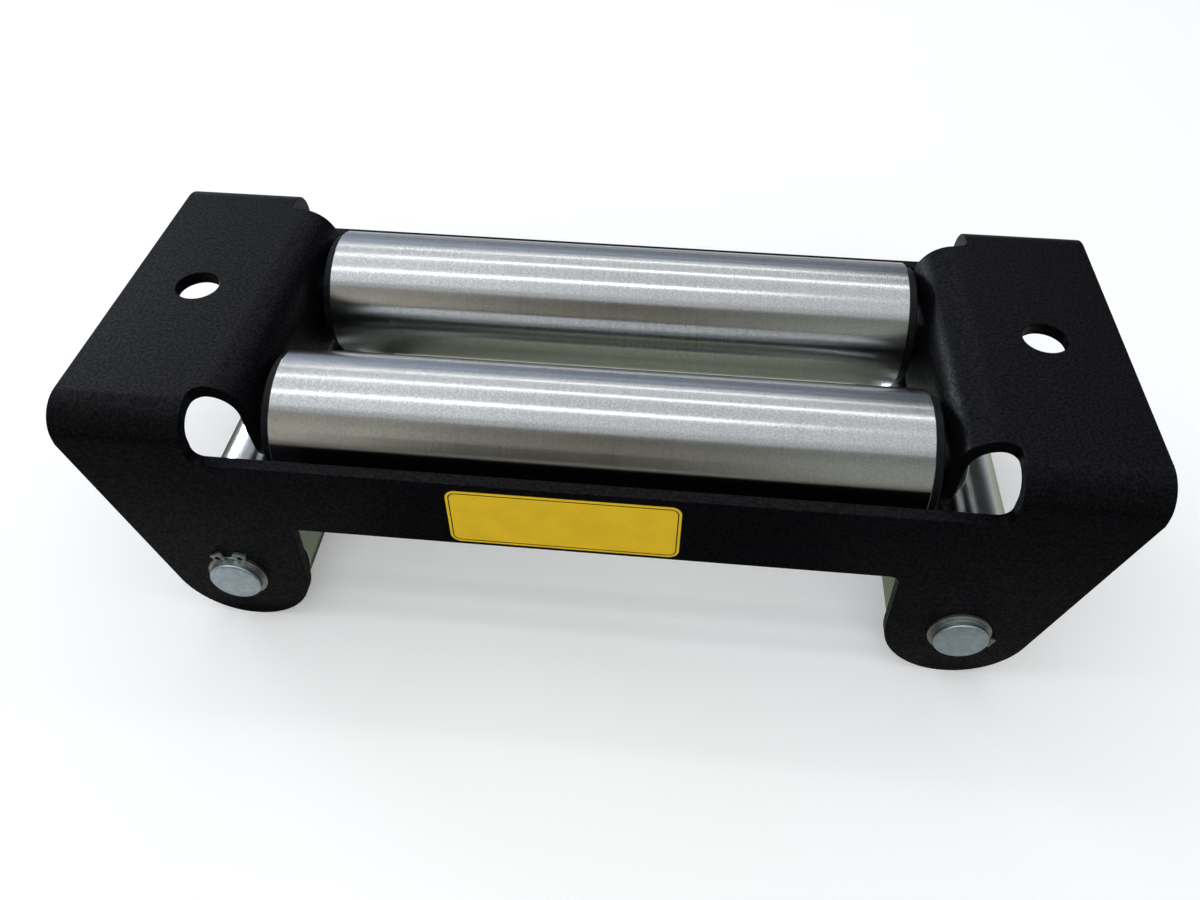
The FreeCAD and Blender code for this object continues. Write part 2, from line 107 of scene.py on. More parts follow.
@dataclass
class NodeBench:
    """A material's node tree, with short calls to add and join nodes."""

    name: str
    material: bpy.types.Material = field(init=False)

    def __post_init__(self) -> None:
        """Start the material with its shader and output."""
        self.material = bpy.data.materials.new(self.name)
        self.material.use_nodes = True
        self.tree = self.material.node_tree
        self.shader = self.tree.nodes["Principled BSDF"]

    def add(self, kind: str, **values: object) -> bpy.types.Node:
        """Add a node and set its properties.

        Args:
            kind: The node's type name.
            values: Properties of the node to set.
        Returns:
            The new node.
        """
        node = self.tree.nodes.new(kind)
        for name, value in values.items():
            setattr(node, name, value)
        return node

    def join(self, output: bpy.types.NodeSocket, target: bpy.types.NodeSocket) -> None:
        """Link an output to an input."""
        self.tree.links.new(output, target)

    def placed(self, scale: Triple) -> bpy.types.NodeSocket:
        """Object coordinates, stretched by a scale along each axis.

        Args:
            scale: Repeats per metre along X, Y and Z.
        Returns:
            The socket with the coordinates.
        """
        where = self.add("ShaderNodeTexCoord")
        mapping = self.add("ShaderNodeMapping")
        mapping.inputs["Scale"].default_value = scale
        self.join(where.outputs["Object"], mapping.inputs["Vector"])
        return mapping.outputs["Vector"]

    def noise(self, scale: Triple, detail: float = 2.0, roughness: float = 0.5) -> bpy.types.NodeSocket:
        """Noise on object coordinates.

        Args:
            scale: Repeats per metre along X, Y and Z.
            detail: Octaves of the noise.
            roughness: Weight of the finer octaves.
        Returns:
            The socket with the noise, about 0.5 on average.
        """
        texture = self.add("ShaderNodeTexNoise")
        texture.inputs["Scale"].default_value = 1.0
        texture.inputs["Detail"].default_value = detail
        texture.inputs["Roughness"].default_value = roughness
        self.join(self.placed(scale), texture.inputs["Vector"])
        return texture.outputs["Fac"]

    def blend(self, factor: bpy.types.NodeSocket, low: Colour, high: Colour,
              start: float = 0.35, end: float = 0.65) -> bpy.types.NodeSocket:
        """A colour that goes from low to high as a factor goes from start to end.

        Args:
            factor: The socket that drives the colour.
            low: Linear colour at the start.
            high: Linear colour at the end.
            start: Factor at which the low colour ends.
            end: Factor at which the high colour begins.
        Returns:
            The socket with the colour.
        """
        ramp = self.add("ShaderNodeValToRGB")
        ramp.color_ramp.elements[0].position = start
        ramp.color_ramp.elements[0].color = (*low, 1.0)
        ramp.color_ramp.elements[1].position = end
        ramp.color_ramp.elements[1].color = (*high, 1.0)
        self.join(factor, ramp.inputs["Fac"])
        return ramp.outputs["Color"]

    def spread(self, factor: bpy.types.NodeSocket, low: float, high: float,
               start: float = 0.3, end: float = 0.7) -> bpy.types.NodeSocket:
        """A value that goes from low to high as a factor goes from start to end.

        Args:
            factor: The socket that drives the value.
            low: Value at the start.
            high: Value at the end.
            start: Factor at which the value leaves low.
            end: Factor at which the value reaches high.
        Returns:
            The socket with the value.
        """
        node = self.add("ShaderNodeMapRange")
        for name, value in (("From Min", start), ("From Max", end), ("To Min", low), ("To Max", high)):
            node.inputs[name].default_value = value
        self.join(factor, node.inputs["Value"])
        return node.outputs["Result"]

    def bump(self, height: bpy.types.NodeSocket, depth: float, strength: float = 1.0,
             under: bpy.types.NodeSocket | None = None) -> bpy.types.NodeSocket:
        """A bumped normal.

        Args:
            height: The socket with the height, from 0 to 1.
            depth: What a height of 1 stands for, in metres.
            strength: Share of the bump that shows.
            under: The normal of a coarser bump below it.
        Returns:
            The socket with the normal.
        """
        node = self.add("ShaderNodeBump")
        node.inputs["Distance"].default_value = depth
        node.inputs["Strength"].default_value = strength
        self.join(height, node.inputs["Height"])
        if under is not None:
            self.join(under, node.inputs["Normal"])
        return node.outputs["Normal"]

    def set(self, **values: float) -> None:
        """Set constant values of the shader; an underscore in a name stands for a space."""
        for name, value in values.items():
            self.shader.inputs[name.replace("_", " ")].default_value = value

    def feed(self, name: str, output: bpy.types.NodeSocket) -> None:
        """Link an output to one of the shader's inputs."""
        self.join(output, self.shader.inputs[name])


@dataclass(frozen=True)
class PowderCoat:
    """Fine textured black powder coat.

    Its patterns, from speckle to sparkle, are in repeats per metre. The sparkle makes some grains of the
    coat glossier than others.
    """

    dark: Colour = (0.0018, 0.0018, 0.0025)
    light: Colour = (0.0055, 0.0058, 0.0080)
    speckle: float = 1450.0
    grain: float = 1500.0
    swell: float = 260.0
    sparkle: float = 1120.0
    grain_depth: float = 0.17 * MM
    grain_share: float = 0.34
    swell_share: float = 0.35
    smooth: float = 0.32
    rough: float = 0.46
    dull_specular: float = 0.046
    bright_specular: float = 0.104

    def material(self) -> bpy.types.Material:
        """Build the finish.

        Returns:
            The material.
        """
        bench = NodeBench("powder_coat")
        grain = bench.noise((self.grain,) * 3, detail=3.0, roughness=0.6)
        swell = bench.noise((self.swell,) * 3, detail=2.0)
        speckle = bench.noise((self.speckle,) * 3, detail=2.0)
        bench.feed("Base Color", bench.blend(speckle, self.dark, self.light, start=0.50, end=0.70))
        sheen = bench.spread(speckle, self.smooth, self.rough, start=0.40, end=0.60)
        bench.feed("Roughness", sheen)
        peel = bench.bump(swell, self.grain_depth, self.swell_share)
        bench.feed("Normal", bench.bump(grain, self.grain_depth, self.grain_share, peel))
        sparkle = bench.noise((self.sparkle,) * 3, detail=2.0)
        specular = bench.spread(sparkle, self.dull_specular, self.bright_specular,
                                start=0.42, end=0.58)
        bench.feed("Specular IOR Level", specular)
        return bench.material


@dataclass(frozen=True)
class TurnedSteel:
    """Bright steel with fine lathe marks round the piece.

    The patterns are in repeats per metre: fine and coarse along the piece, round_about round it.
    """

    axis: Axis
    base: Colour = (0.59, 0.60, 0.605)
    shade: Colour = (0.46, 0.47, 0.475)
    fine: float = 5200.0
    coarse: float = 1100.0
    round_about: float = 60.0
    handling: float = 60.0
    grain: float = 2000.0
    streak_share: float = 0.25
    smooth: float = 0.20
    rough: float = 0.23
    anisotropy: float = 0.88
    mark_depth: float = 0.0022 * MM
    grain_depth: float = 0.005 * MM

    def stretched(self, along: float) -> Triple:
        """The scale of a pattern that is fine along the axis and long round it.

        Args:
            along: Repeats per metre along the axis.
        Returns:
            Repeats per metre along X, Y and Z.
        """
        scale = [self.round_about] * 3
        scale[self.axis.index] = along
        return tuple(scale)

    def material(self) -> bpy.types.Material:
        """Build the finish.

        Returns:
            The material.
        """
        bench = NodeBench(f"turned_steel_{self.axis.name.lower()}")
        fine = bench.noise(self.stretched(self.fine), detail=2.0)
        coarse = bench.noise(self.stretched(self.coarse), detail=3.0, roughness=0.7)
        handled = bench.noise((self.handling,) * 3, detail=3.0)
        grain = bench.noise((self.grain,) * 3, detail=2.0)
        mottle = bench.add("ShaderNodeMath", operation="ADD")
        bench.join(bench.spread(coarse, 0.0, self.streak_share), mottle.inputs[0])
        bench.join(bench.spread(grain, 0.0, 1.0 - self.streak_share), mottle.inputs[1])
        colour = bench.blend(mottle.outputs["Value"], self.shade, self.base, start=0.2, end=0.8)
        bench.feed("Base Color", colour)
        rough = bench.add("ShaderNodeMath", operation="ADD")
        bench.join(bench.spread(coarse, self.smooth, self.rough), rough.inputs[0])
        bench.join(bench.spread(handled, low=-0.01, high=0.03), rough.inputs[1])
        bench.feed("Roughness", rough.outputs["Value"])
        marks = bench.bump(coarse, self.mark_depth, strength=0.6)
        speckle = bench.bump(grain, self.grain_depth, strength=0.7, under=marks)
        bench.feed("Normal", bench.bump(fine, self.mark_depth, strength=0.5, under=speckle))
        bench.set(Metallic=1.0, Anisotropic=self.anisotropy)
        tangent = bench.add("ShaderNodeTangent", direction_type="UV_MAP", uv_map=TURNED_UV)
        bench.feed("Tangent", tangent.outputs["Tangent"])
        return bench.material


@dataclass(frozen=True)
class ZincPlate:
    """Zinc plated steel with a cloudy sheen. Its patterns are in repeats per metre."""

    name: str
    bright: Colour
    dull: Colour
    smooth: float = 0.30
    rough: float = 0.44
    cloud: float = 420.0
    grain: float = 3200.0
    grain_depth: float = 0.012 * MM

    def material(self) -> bpy.types.Material:
        """Build the finish.

        Returns:
            The material.
        """
        bench = NodeBench(self.name)
        cloud = bench.noise((self.cloud,) * 3, detail=4.0, roughness=0.6)
        grain = bench.noise((self.grain,) * 3, detail=2.0)
        bench.feed("Base Color", bench.blend(cloud, self.dull, self.bright))
        bench.feed("Roughness", bench.spread(cloud, self.rough, self.smooth))
        bench.feed("Normal", bench.bump(grain, self.grain_depth, strength=0.5))
        bench.set(Metallic=1.0)
        return bench.material


@dataclass(frozen=True)
class MouldedPlastic:
    """Dark grey satin bearing plastic. Its patterns are in repeats per metre."""

    dark: Colour = (0.0036, 0.0038, 0.0050)
    light: Colour = (0.0072, 0.0075, 0.0096)
    smooth: float = 0.38
    rough: float = 0.50
    flow: float = 300.0
    grain: float = 2600.0
    grain_depth: float = 0.015 * MM
    specular: float = 0.13

    def material(self) -> bpy.types.Material:
        """Build the finish.

        Returns:
            The material.
        """
        bench = NodeBench("bush_plastic")
        flow = bench.noise((self.flow,) * 3, detail=3.0)
        grain = bench.noise((self.grain,) * 3, detail=2.0)
        bench.feed("Base Color", bench.blend(flow, self.dark, self.light))
        bench.feed("Roughness", bench.spread(flow, self.smooth, self.rough))
        bench.feed("Normal", bench.bump(grain, self.grain_depth, strength=0.5))
        bench.set(Specular_IOR_Level=self.specular)
        return bench.material


@dataclass(frozen=True)
class Vinyl:
    """Printed vinyl with a slight gloss. Its patterns are in repeats per metre."""

    name: str
    colour: Colour
    faded: Colour
    smooth: float = 0.32
    rough: float = 0.42
    cloud: float = 140.0
    film: float = 900.0
    film_depth: float = 0.01 * MM
    specular: float = 0.18

    def material(self) -> bpy.types.Material:
        """Build the finish.

        Returns:
            The material.
        """
        bench = NodeBench(self.name)
        cloud = bench.noise((self.cloud,) * 3, detail=3.0)
        film = bench.noise((self.film,) * 3, detail=2.0)
        bench.feed("Base Color", bench.blend(cloud, self.faded, self.colour))
        bench.feed("Roughness", bench.spread(film, self.smooth, self.rough))
        bench.feed("Normal", bench.bump(film, self.film_depth, strength=0.3))
        bench.set(Specular_IOR_Level=self.specular)
        return bench.material


PIN_ZINC = ZincPlate("pin_zinc", bright=(0.72, 0.82, 0.86), dull=(0.56, 0.65, 0.68))
RING_ZINC = ZincPlate("ring_zinc", bright=(0.46, 0.47, 0.43), dull=(0.30, 0.31, 0.28),
                      smooth=0.34, rough=0.46)
LABEL_YELLOW = Vinyl("label_yellow", colour=(0.80, 0.52, 0.012), faded=(0.74, 0.47, 0.010))
LABEL_BLACK = Vinyl("label_black", colour=(0.010, 0.010, 0.010), faded=(0.014, 0.013, 0.012))


@dataclass
class TurnedPiece:
    """A mesh turned round an axis from a profile.

    The profile's points are (distance along the axis, radius), anticlockwise round the material, and a
    closed profile makes a ring. Its UV map runs along the axis first and then round it.
    """

    name: str
    profile: Profile
    axis: Axis
    centre: Vector
    closed: bool
    segments: int = 128

    def place(self, along: float, radius: float, turn: float) -> Vector:
        """A point of the surface.

        Args:
            along: Distance from the centre along the axis.
            radius: Distance from the axis.
            turn: Angle about the axis.
        Returns:
            The point.
        """
        across = Vector((0.0, 0.0, 1.0))
        side = self.axis.vector.cross(across)
        spoke = across * math.cos(turn) + side * math.sin(turn)
        return self.centre + self.axis.vector * along + spoke * radius

    def build(self) -> bpy.types.Object:
        """Make the mesh, smooth but for its sharp edges.

        Returns:
            The object with the mesh.
        """
        mesh = bpy.data.meshes.new(self.name)
        bm = bmesh.new()
        uv = bm.loops.layers.uv.new(TURNED_UV)
        rings = []
        for along, radius in self.profile:
            turns = range(self.segments) if radius > 0.0 else range(1)
            step = 2.0 * math.pi / self.segments
            rings.append([bm.verts.new(self.place(along, radius, k * step)) for k in turns])
        pairs = list(zip(range(len(rings)), range(1, len(rings))))
        if self.closed:
            pairs.append((len(rings) - 1, 0))
        for first, second in pairs:
            self.band(bm, uv, rings, first, second)
        bmesh.ops.recalc_face_normals(bm, faces=bm.faces)
        for edge in bm.edges:
            edge.smooth = edge.calc_face_angle(0.0) < SMOOTH_ANGLE
        bm.to_mesh(mesh)
        bm.free()
        for polygon in mesh.polygons:
            polygon.use_smooth = True
        return link_object(self.name, mesh)

    def band(self, bm: bmesh.types.BMesh, uv: bmesh.types.BMLayerItem,
             rings: list[list[bmesh.types.BMVert]], first: int, second: int) -> None:
        """Fill between two rings of points, with the UV map of each corner.

        Args:
            bm: The mesh being built.
            uv: Its UV layer.
            rings: All rings of points; a ring on the axis is one point.
            first: Index of one ring.
            second: Index of the other ring.
        """
        one, two = rings[first], rings[second]
        for k in range(self.segments):
            after = k + 1
            corners = [(one, k, first), (two, k, second), (two, after, second), (one, after, first)]
            seen, loop_uv = [], []
            for ring, turn, station in corners:
                vertex = ring[turn % self.segments] if len(ring) > 1 else ring[0]
                if vertex in seen:
                    continue
                along, radius = self.profile[station]
                seen.append(vertex)
                loop_uv.append((along + radius, turn / self.segments))
            face = bm.faces.new(seen)
            for loop, place in zip(face.loops, loop_uv):
                loop[uv].uv = place


def link_object(name: str, mesh: bpy.types.Mesh) -> bpy.types.Object:
    """Put a mesh into the scene as an object at the origin.

    Args:
        name: Name of the object.
        mesh: The mesh, with its place in it.
    Returns:
        The object.
    """
    made = bpy.data.objects.new(name, mesh)
    bpy.context.scene.collection.objects.link(made)
    return made


def box_of(node: str) -> tuple[Vector, Vector, Vector]:
    """Lowest corner, highest corner and centre of a CAD node."""
    low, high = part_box(node)
    return low, high, (low + high) / 2


def softened_copy(node: str, name: str, rounding: float, segments: int) -> bpy.types.Object:
    """A copy of a CAD node with its sharp edges rounded.

    Args:
        node: Name of the CAD node.
        name: Name of the copy.
        rounding: How far from an edge its rounding starts.
        segments: Faces across a rounded edge.
    Returns:
        The copy, with its rounding worked into its mesh.
    """
    mesh = bpy.data.meshes.new(name)
    bm = bmesh.new()
    bm.from_mesh(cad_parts[node].data)
    bmesh.ops.remove_doubles(bm, verts=bm.verts, dist=MERGE_DISTANCE)
    bmesh.ops.dissolve_limit(bm, angle_limit=FLAT_ANGLE, verts=bm.verts, edges=bm.edges)
    bm.to_mesh(mesh)
    bm.free()
    made = link_object(name, mesh)
    for polygon in mesh.polygons:
        polygon.use_smooth = True
    bevel = made.modifiers.new("rounded_edges", "BEVEL")
    bevel.width = rounding
    bevel.segments = segments
    bevel.limit_method = "ANGLE"
    bevel.angle_limit = SHARP_ANGLE
    bevel.harden_normals = True
    bevel.use_clamp_overlap = False
    flat = made.modifiers.new("flat_faces_stay_flat", "WEIGHTED_NORMAL")
    flat.mode = "FACE_AREA"
    flat.weight = FLAT_FACE_WEIGHT
    flat.keep_sharp = True
    apply_modifiers(made)
    return made


def apply_modifiers(made: bpy.types.Object) -> None:
    """Turn an object's modifiers into plain mesh.

    Args:
        made: The object, which loses its modifiers.
    """
    graph = bpy.context.evaluated_depsgraph_get()
    mesh = bpy.data.meshes.new_from_object(made.evaluated_get(graph))
    made.modifiers.clear()
    made.data = mesh
    mesh.name = made.name


def dress(made: bpy.types.Object, material: bpy.types.Material) -> None:
    """Give an object one material."""
    made.data.materials.clear()
    made.data.materials.append(material)


@dataclass
class CopyTree:
    """Geometry Nodes that put a copy of one piece on each point, turned by the point's own turn."""

    name: str = "copies_on_points"

    def build(self) -> bpy.types.GeometryNodeTree:
        """Make the tree, with the piece and the finish as its named inputs.

        Returns:
            The tree.
        """
        tree = bpy.data.node_groups.new(self.name, "GeometryNodeTree")
        tree.interface.new_socket("Points", in_out="INPUT", socket_type="NodeSocketGeometry")
        tree.interface.new_socket("Piece", in_out="INPUT", socket_type="NodeSocketObject")
        tree.interface.new_socket("Finish", in_out="INPUT", socket_type="NodeSocketMaterial")
        tree.interface.new_socket("Copies", in_out="OUTPUT", socket_type="NodeSocketGeometry")
        start = tree.nodes.new("NodeGroupInput")
        end = tree.nodes.new("NodeGroupOutput")
        piece = tree.nodes.new("GeometryNodeObjectInfo")
        turn = tree.nodes.new("GeometryNodeInputNamedAttribute")
        turn.data_type = "FLOAT_VECTOR"
        turn.inputs["Name"].default_value = TURN_ATTRIBUTE
        as_rotation = tree.nodes.new("FunctionNodeEulerToRotation")
        copies = tree.nodes.new("GeometryNodeInstanceOnPoints")
        real = tree.nodes.new("GeometryNodeRealizeInstances")
        finish = tree.nodes.new("GeometryNodeSetMaterial")
        tree.links.new(start.outputs["Piece"], piece.inputs["Object"])
        tree.links.new(start.outputs["Points"], copies.inputs["Points"])
        tree.links.new(piece.outputs["Geometry"], copies.inputs["Instance"])
        tree.links.new(turn.outputs["Attribute"], as_rotation.inputs["Euler"])
        tree.links.new(as_rotation.outputs["Rotation"], copies.inputs["Rotation"])
        tree.links.new(copies.outputs["Instances"], real.inputs["Geometry"])
        tree.links.new(real.outputs["Geometry"], finish.inputs["Geometry"])
        tree.links.new(start.outputs["Finish"], finish.inputs["Material"])
        tree.links.new(finish.outputs["Geometry"], end.inputs["Copies"])
        return tree


def put_copies(name: str, tree: bpy.types.GeometryNodeTree, piece: bpy.types.Object,
               finish: bpy.types.Material, places: list[tuple[Vector, float]]) -> bpy.types.Object:
    """Put copies of a piece at places, each turned about Z, and return them as one mesh.

    Args:
        name: Name of the mesh.
        tree: The tree that puts the copies.
        piece: The piece, at the origin and facing +X.
        finish: Material of the copies.
        places: Where each copy goes and how far it is turned.
    Returns:
        The object with all copies.
    """
    points = bpy.data.meshes.new(f"{name}_points")
    points.from_pydata([place for place, _ in places], [], [])
    turns = points.attributes.new(TURN_ATTRIBUTE, "FLOAT_VECTOR", "POINT")
    for item, (_, turn) in zip(turns.data, places):
        item.vector = (0.0, 0.0, turn)
    made = link_object(name, points)
    modifier = made.modifiers.new("copies", "NODES")
    modifier.node_group = tree
    given = {"Piece": piece, "Finish": finish}
    for socket in tree.interface.items_tree:
        if socket.in_out == "INPUT" and socket.name in given:
            modifier[socket.identifier] = given[socket.name]
    apply_modifiers(made)
    return made


@dataclass
class FoldedFrame:
    """The folded sheet frame with its cut edges softly rounded."""

    finish: bpy.types.Material
    node: str = "frame"
    edge_rounding: float = 0.30 * MM
    edge_faces: int = 3

    def build(self) -> bpy.types.Object:
        """Make the frame in place of its CAD node.

        Returns:
            The frame.
        """
        made = softened_copy(self.node, "folded_frame", self.edge_rounding, self.edge_faces)
        dress(made, self.finish)
        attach(made, FRAME_BODY)
        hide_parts(self.node)
        return made


@dataclass
class Roller:
    """One roller: its turned tube, two bushes on it, and its pin in the frame."""

    name: str
    axis: Axis
    ends: tuple[str, str]
    steel: bpy.types.Material
    zinc: bpy.types.Material
    plastic: bpy.types.Material
    copies: bpy.types.GeometryNodeTree
    tube_wall: float = 4.0 * MM
    edge_rounding: float = 0.4 * MM
    rounding_steps: int = 4
    bush_bore: float = 8.07 * MM
    bush_edge: float = 0.6 * MM
    bush_sleeve: float = 24.0 * MM
    groove_radius: float = 7.6 * MM
    groove_width: float = 1.1 * MM
    pin_edge: float = 0.55 * MM
    ring_edge: float = 0.08 * MM
    ring_edge_faces: int = 2
    tube_segments: int = 160
    inner_segments: int = 96

    def extent(self, node: str) -> tuple[float, float, Vector]:
        """The size and place of a turned CAD node of this roller.

        Args:
            node: Name of the node after the roller's own name.
        Returns:
            Half its length, its radius and its centre.
        """
        low, high, centre = box_of(f"{self.name}_{node}")
        half = (high - low) / 2
        return half[self.axis.index], half.z, centre

    def quarter(self, along: float, radius: float, rounding: float, start: float) -> Profile:
        """Profile points of a rounded corner, a quarter turn from a start angle.

        Args:
            along: Place of the corner along the axis.
            radius: Place of the corner across the axis.
            rounding: Radius of the rounding.
            start: Angle at which the rounding begins; the corner lies half a quarter further.
        Returns:
            The points of the rounding.
        """
        middle = start + math.pi / 4
        centre_along = along - math.copysign(rounding, math.cos(middle))
        centre_radius = radius - math.copysign(rounding, math.sin(middle))
        points = []
        for k in range(self.rounding_steps + 1):
            angle = start + math.pi / 2 * k / self.rounding_steps
            along_arc = centre_along + rounding * math.cos(angle)
            radius_on_arc = centre_radius + rounding * math.sin(angle)
            points.append((along_arc, radius_on_arc))
        return points

    def turned(self, kind: str, profile: Profile, centre: Vector, closed: bool,
               segments: int) -> bpy.types.Object:
        """A piece of this roller, turned round the roller's own axis.

        Args:
            kind: What the piece is, for its name.
            profile: Its profile.
            centre: Where the middle of the profile's axis lies.
            closed: Whether the profile is closed.
            segments: Faces round the piece.
        Returns:
            The piece.
        """
        return TurnedPiece(f"{self.name}_{kind}", profile, self.axis, centre, closed, segments).build()

    def build_tube(self) -> bpy.types.Object:
        """The bright tube.

        Returns:
            The tube.
        """
        half, outside, centre = self.extent("tube")
        bore = outside - self.tube_wall
        inside_edge = self.edge_rounding / 2
        profile = self.quarter(half, outside, self.edge_rounding, 0.0)
        profile += self.quarter(-half, outside, self.edge_rounding, math.pi / 2)
        profile += [(-half, bore + inside_edge), (-half + inside_edge, bore)]
        profile += [(half - inside_edge, bore), (half, bore + inside_edge)]
        made = self.turned("bright_tube", profile, centre, closed=True, segments=self.tube_segments)
        dress(made, self.steel)
        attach(made, self.name)
        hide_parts(f"{self.name}_tube")
        return made

    def build_bushes(self) -> bpy.types.Object:
        """Both flanged bushes, as copies of one.

        Returns:
            The two bushes as one object.
        """
        tube_half, outside, centre = self.extent("tube")
        node = f"{self.name}_bush_{self.ends[0]}"
        low, high, _ = box_of(node)
        length = (high - low)[self.axis.index]
        flange = length - self.bush_sleeve
        rim = (high - low).z / 2
        sleeve = outside - self.tube_wall
        profile = self.quarter(flange, rim, self.bush_edge, 0.0)
        profile += [(0.0, rim), (0.0, sleeve)]
        profile += [(-self.bush_sleeve, sleeve), (-self.bush_sleeve, self.bush_bore)]
        profile += [(flange - self.bush_edge, self.bush_bore), (flange, self.bush_bore + self.bush_edge)]
        name = f"{self.name}_bush"
        piece = TurnedPiece(name, profile, Axis.X, Vector(), True, self.inner_segments).build()
        heading = 0.0 if self.axis is Axis.X else math.pi / 2
        places = [(centre + self.axis.vector * tube_half, heading),
                  (centre - self.axis.vector * tube_half, heading + math.pi)]
        made = put_copies(f"{self.name}_bushes", self.copies, piece, self.plastic, places)
        bpy.data.objects.remove(piece)
        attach(made, self.name)
        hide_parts(*[f"{self.name}_bush_{end}" for end in self.ends])
        return made

    def build_pin(self) -> bpy.types.Object:
        """The pin, with a groove at each end for its retaining ring.

        Returns:
            The pin.
        """
        half, shank, centre = self.extent("pin")
        ring_low, ring_high, _ = box_of(f"{self.name}_ring_{self.ends[0]}")
        side = self.axis.index
        seats = (abs(ring_low[side] - centre[side]), abs(ring_high[side] - centre[side]))
        seat = min(seats)
        right = [(half, 0.0), *self.quarter(half, shank, self.pin_edge, 0.0)]
        right += [(seat + self.groove_width, shank), (seat + self.groove_width, self.groove_radius)]
        right += [(seat, self.groove_radius), (seat, shank)]
        left = [(-along, radius) for along, radius in reversed(right)]
        profile = right + left
        made = self.turned("plated_pin", profile, centre, closed=False, segments=self.inner_segments)
        dress(made, self.zinc)
        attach(made, FRAME_BODY)
        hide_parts(f"{self.name}_pin")
        return made

    def build_rings(self, finish: bpy.types.Material) -> list[bpy.types.Object]:
        """The retaining rings, with the soft edges of stamped steel.

        Args:
            finish: Material of the rings.
        Returns:
            The two rings.
        """
        made = []
        for end in self.ends:
            node = f"{self.name}_ring_{end}"
            ring = softened_copy(node, f"{node}_stamped", self.ring_edge, self.ring_edge_faces)
            dress(ring, finish)
            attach(ring, FRAME_BODY)
            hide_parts(node)
            made.append(ring)
        return made


@dataclass
class Label:
    """Blank label with a thin border line, on the near cross bar."""

    ground: bpy.types.Material
    line: bpy.types.Material
    node: str = "label"
    corner: float = 3.0 * MM
    least_corner: float = 0.2 * MM
    margin: float = 0.75 * MM
    line_width: float = 0.35 * MM
    edge: float = 0.06 * MM
    corner_steps: int = 10

    def outline(self, inset: float, y: float) -> list[Vector]:
        """The outline of the label, drawn in on all sides.

        Args:
            inset: How far it is drawn in.
            y: Where it lies along Y.
        Returns:
            The points of the outline.
        """
        low, high, _ = box_of(self.node)
        radius = max(self.corner - inset, self.least_corner)
        corners = [(high.x, high.z), (low.x, high.z), (low.x, low.z), (high.x, low.z)]
        points = []
        for quadrant, (x, z) in enumerate(corners):
            start = quadrant * math.pi / 2
            middle = start + math.pi / 4
            centre_x = x - math.copysign(inset + radius, math.cos(middle))
            centre_z = z - math.copysign(inset + radius, math.sin(middle))
            for k in range(self.corner_steps + 1):
                angle = start + math.pi / 2 * k / self.corner_steps
                x_on_arc = centre_x + radius * math.cos(angle)
                z_on_arc = centre_z + radius * math.sin(angle)
                points.append(Vector((x_on_arc, y, z_on_arc)))
        return points

    def build(self) -> bpy.types.Object:
        """Make the label in place of its CAD node.

        Returns:
            The label.
        """
        low, high, _ = box_of(self.node)
        front, back = low.y, high.y
        stations = [(0.0, back), (0.0, front + self.edge), (self.edge, front), (self.margin, front),
                    (self.margin + self.line_width, front)]
        mesh = bpy.data.meshes.new("blank_label")
        bm = bmesh.new()
        loops = [[bm.verts.new(p) for p in self.outline(inset, y)] for inset, y in stations]
        count = len(loops[0])
        line_band = len(stations) - 2
        for band, (outer, inner) in enumerate(zip(loops, loops[1:])):
            for k in range(count):
                following = (k + 1) % count
                face = bm.faces.new([outer[k], outer[following], inner[following], inner[k]])
                face.material_index = 1 if band == line_band else 0
        bm.faces.new(loops[-1])
        bm.faces.new(reversed(loops[0]))
        bmesh.ops.recalc_face_normals(bm, faces=bm.faces)
        bm.to_mesh(mesh)
        bm.free()
        made = link_object("blank_label", mesh)
        mesh.materials.append(self.ground)
        mesh.materials.append(self.line)
        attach(made, FRAME_BODY)
        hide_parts(self.node)
        return made


@dataclass(frozen=True)
class SoftLight:
    """A soft box, with its light given as the brightness of its face.

    It faces down unless it has a target.
    """

    name: str
    place: Triple
    width: float
    length: float
    brightness: float
    target: Triple | None = None
    tint: Colour = (1.0, 1.0, 1.0)
    seen_in_gloss: bool = True

    def build(self) -> None:
        """Make the lamp."""
        lamp = bpy.data.lights.new(self.name, "AREA")
        lamp.shape = "RECTANGLE"
        lamp.size = self.width
        lamp.size_y = self.length
        lamp.energy = self.brightness * math.pi * self.width * self.length
        lamp.color = self.tint
        made = bpy.data.objects.new(self.name, lamp)
        bpy.context.scene.collection.objects.link(made)
        made.location = self.place
        if self.target is not None:
            aim = Vector(self.target) - Vector(self.place)
            made.rotation_euler = aim.to_track_quat("-Z", "Y").to_euler()
        made.visible_glossy = self.seen_in_gloss


@dataclass(frozen=True)
class Card:
    """A flat card that only shapes the light: the camera doesn't see it, and it throws no shadow."""

    name: str
    corner: Triple
    side: Triple
    rise: Triple
    tone: Colour

    def build(self) -> None:
        """Make the card from one corner and its two sides."""
        corner, side, rise = Vector(self.corner), Vector(self.side), Vector(self.rise)
        mesh = bpy.data.meshes.new(self.name)
        mesh.from_pydata([corner, corner + side, corner + side + rise, corner + rise], [], [(0, 1, 2, 3)])
        card = link_object(self.name, mesh)
        bench = NodeBench(self.name)
        bench.shader.inputs["Base Color"].default_value = (*self.tone, 1.0)
        bench.set(Roughness=1.0, Specular_IOR_Level=0.0)
        dress(card, bench.material)
        card.visible_camera = False
        card.visible_diffuse = False
        card.visible_shadow = False


# The lights are a pale ceiling, three rows of tubes, a low window on the left and a soft fill in front.
SKY_TINT = (0.95, 0.98, 1.0)
WINDOW_TINT = (0.82, 0.90, 1.0)

